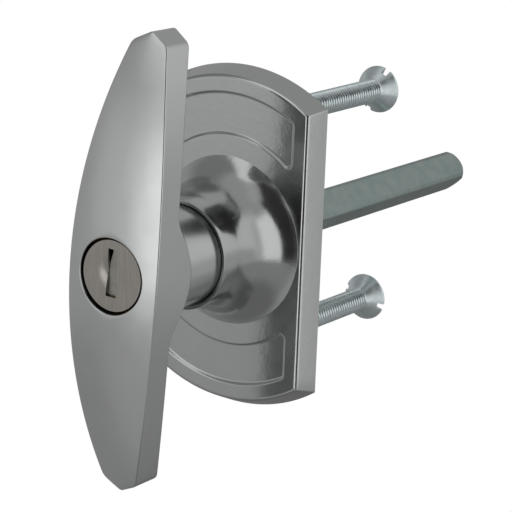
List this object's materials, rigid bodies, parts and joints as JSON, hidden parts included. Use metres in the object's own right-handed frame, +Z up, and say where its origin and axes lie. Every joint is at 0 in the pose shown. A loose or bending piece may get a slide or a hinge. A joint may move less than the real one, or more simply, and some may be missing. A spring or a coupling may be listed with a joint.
{
  "type": "garage door lock",
  "caption": "T-handle garage door lock: bowed grip with a key cylinder, turning in a flared backplate, with a square spindle and fixing screws behind.",
  "frame": {"origin": "on the spindle's axis, in the plane of the backplate's rear face that meets the door", "axes": "+Y into the door along the spindle, +Z up, +X to the right seen from outside"},
  "size_m": [0.0462, 0.1457, 0.1054],
  "materials": {
    "chrome_plate": "bright chrome plated die-cast zinc",
    "chrome_grip": "satin polished chrome plated die-cast zinc",
    "brass_sleeve": "turned",
    "brass_plug": "turned and milled",
    "stainless_cap": "fine turned stainless steel",
    "stainless_shutter": "pressed stainless steel",
    "steel_pin": "ground",
    "spring_steel": "drawn spring steel",
    "brass_wafer": "stamped",
    "zinc_cam": "as-cast zinc alloy",
    "zinc_bolt": "as-cast zinc alloy",
    "zinc_plated_bar": "bright zinc plated cold-drawn bar",
    "zinc_plated_washer": "zinc plated",
    "zinc_plated_screws": "bright zinc plated steel"
  },
  "bodies": {
    "backplate": {"backplate": "chrome_plate", "fixing_screws": "zinc_plated_screws"},
    "handle": {"handle": "chrome_grip", "cylinder_sleeve": "brass_sleeve", "sleeve_pin": "steel_pin", "spindle": "zinc_plated_bar", "spindle_stop_pin": "steel_pin", "thrust_washer": "zinc_plated_washer", "stem_circlip": "spring_steel"},
    "plug": {"lock_plug": "brass_plug", "plug_face_cap": "stainless_cap", "shutter_pin": "steel_pin", "shutter_spring": "spring_steel", "wafer_springs": "spring_steel", "plug_clip": "spring_steel", "lock_cam": "zinc_cam"},
    "shutter": {"dust_shutter": "stainless_shutter"},
    "bolt": {"locking_bolt": "zinc_bolt"},
    "wafer_1": {"wafer_1": "brass_wafer"},
    "wafer_2": {"wafer_2": "brass_wafer"},
    "wafer_3": {"wafer_3": "brass_wafer"},
    "wafer_4": {"wafer_4": "brass_wafer"},
    "wafer_5": {"wafer_5": "brass_wafer"}
  },
  "joints": [
    {"name": "handle_turn", "type": "hinge", "parent": "backplate", "child": "handle", "pos_m": [0, 0, 0], "axis": [0, 1, 0], "range_deg": [-3.2, 86.8]},
    {"name": "key_turn", "type": "hinge", "parent": "handle", "child": "plug", "pos_m": [0, 0, 0], "axis": [0, 1, 0], "range_deg": [0, 90]},
    {"name": "bolt_slide", "type": "slide", "parent": "handle", "child": "bolt", "axis": [0.0558, 0, 0.9984], "range_m": [0, 0.00127]},
    {"name": "shutter_swing", "type": "hinge", "parent": "plug", "child": "shutter", "pos_m": [0.0022, -0.04535, -0.00012], "axis": [-0.0558, 0, -0.9984], "range_deg": [0, 80], "stiffness_Nm_per_rad": 0.0002},
    {"name": "wafer_1_slide", "type": "slide", "parent": "plug", "child": "wafer_1", "axis": [-0.0558, 0, -0.9984], "range_m": [-0.0008, 0]},
    {"name": "wafer_2_slide", "type": "slide", "parent": "plug", "child": "wafer_2", "axis": [-0.0558, 0, -0.9984], "range_m": [-0.0008, 0]},
    {"name": "wafer_3_slide", "type": "slide", "parent": "plug", "child": "wafer_3", "axis": [-0.0558, 0, -0.9984], "range_m": [-0.0008, 0]},
    {"name": "wafer_4_slide", "type": "slide", "parent": "plug", "child": "wafer_4", "axis": [-0.0558, 0, -0.9984], "range_m": [-0.0008, 0]},
    {"name": "wafer_5_slide", "type": "slide", "parent": "plug", "child": "wafer_5", "axis": [-0.0558, 0, -0.9984], "range_m": [-0.0008, 0]}
  ],
  "couplings": [
    {"joint": "bolt_slide", "follows": "key_turn", "m_per_rad": 0.00081029}
  ]
}
